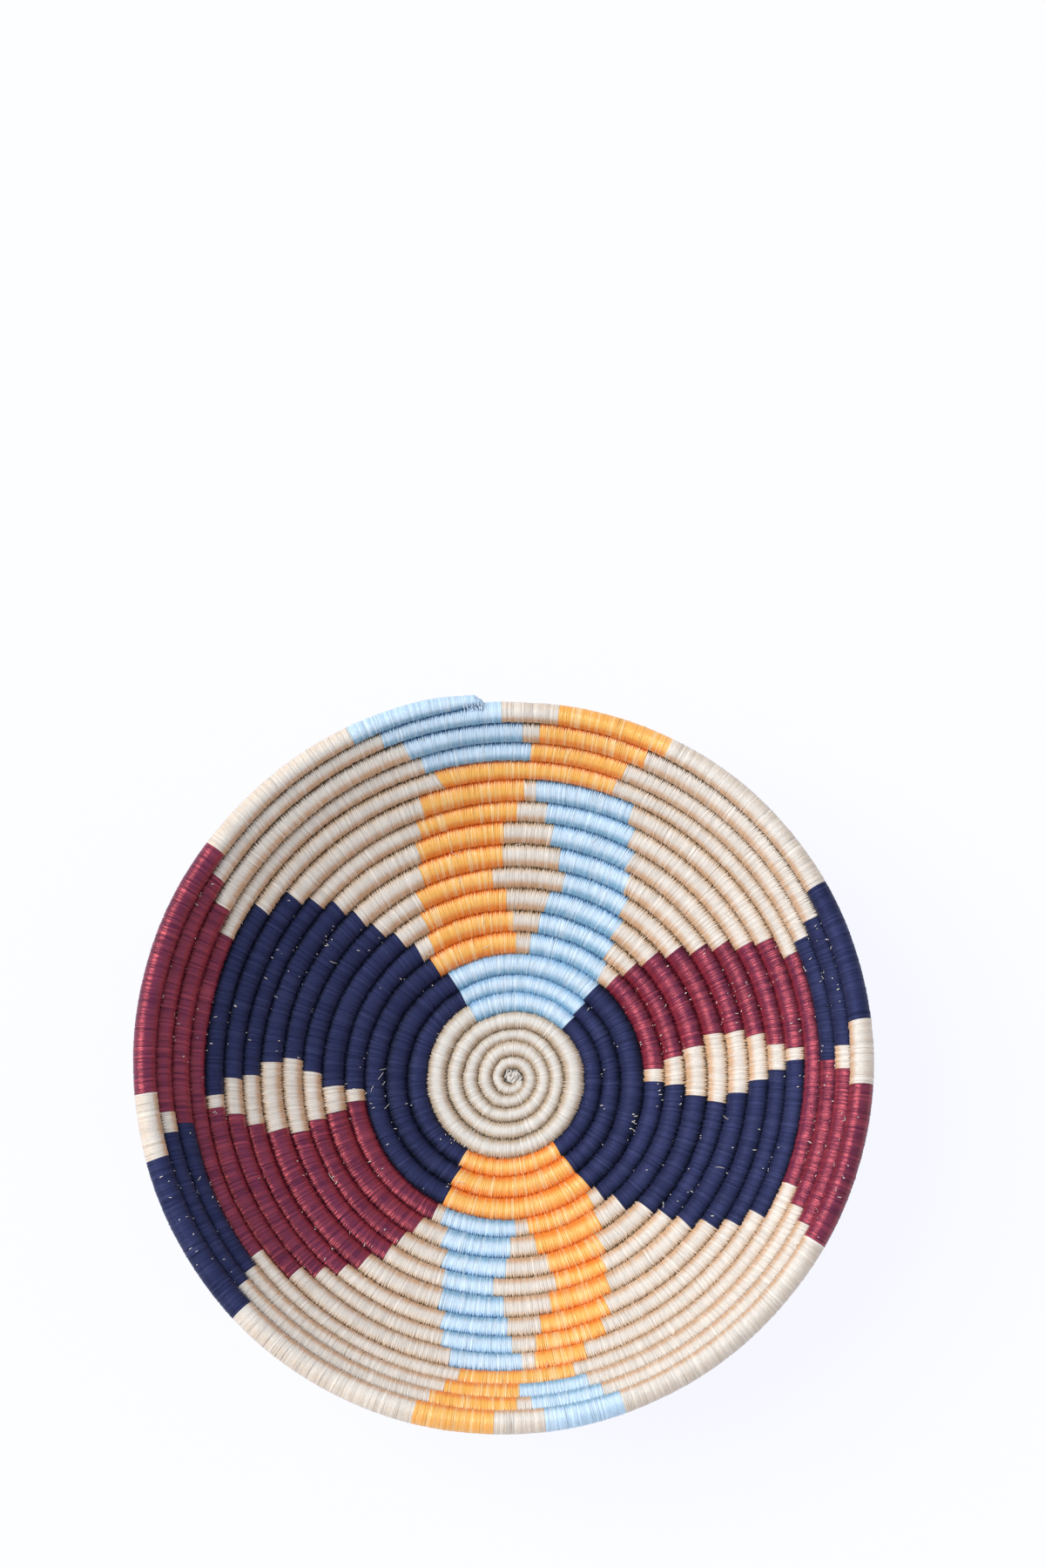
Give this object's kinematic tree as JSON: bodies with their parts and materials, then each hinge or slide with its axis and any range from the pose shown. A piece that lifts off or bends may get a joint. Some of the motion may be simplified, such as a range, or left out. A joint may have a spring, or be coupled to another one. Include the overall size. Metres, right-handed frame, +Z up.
{
  "type": "coiled basket",
  "caption": "Shallow open bowl wound from one fibre-wrapped grass coil, with a geometric colour pattern, for holding fruit or keys or for show.",
  "frame": {"origin": "middle of the underside, at the centre of the coil, on the surface the bowl rests on", "axes": "+Z up out of the bowl, +Y towards the side of the rim where the coil ends, +X to the right seen from above"},
  "size_m": [0.3047, 0.3019, 0.081],
  "materials": {
    "grass": "dry straw",
    "natural_fibre": "matt with a faint sheen along the strands",
    "blue_fibre": "matt with a faint sheen along the strands",
    "orange_fibre": "matt with a faint sheen along the strands",
    "navy_fibre": "matt with a faint sheen along the strands",
    "maroon_fibre": "satin"
  },
  "bodies": {
    "root": {"grass_foundation": "grass", "start_whorl": "natural_fibre", "natural_centre": "natural_fibre", "blue_top_band": "blue_fibre", "navy_right_band": "navy_fibre", "orange_bottom_band": "orange_fibre", "navy_left_band": "navy_fibre", "orange_upper_left_field": "orange_fibre", "blue_upper_right_field": "blue_fibre", "maroon_upper_right_field": "maroon_fibre", "navy_right_field": "navy_fibre", "orange_lower_right_field": "orange_fibre", "blue_lower_left_field": "blue_fibre", "maroon_lower_left_field": "maroon_fibre", "navy_left_field": "navy_fibre", "natural_top_diamond": "natural_fibre", "natural_right_diamond": "natural_fibre", "natural_bottom_diamond": "natural_fibre", "natural_left_diamond": "natural_fibre", "natural_upper_right_block": "natural_fibre", "natural_lower_right_block": "natural_fibre", "natural_lower_left_block": "natural_fibre", "natural_upper_left_block": "natural_fibre", "orange_top_rim": "orange_fibre", "navy_right_rim": "navy_fibre", "maroon_right_rim": "maroon_fibre", "blue_bottom_rim": "blue_fibre", "orange_bottom_rim": "orange_fibre", "navy_left_rim": "navy_fibre", "maroon_left_rim": "maroon_fibre", "blue_top_rim": "blue_fibre", "natural_top_rim_stripe": "natural_fibre", "natural_right_rim_stripe": "natural_fibre", "natural_bottom_rim_stripe": "natural_fibre", "natural_left_rim_stripe": "natural_fibre", "tail_winding": "blue_fibre"}
  },
  "joints": []
}
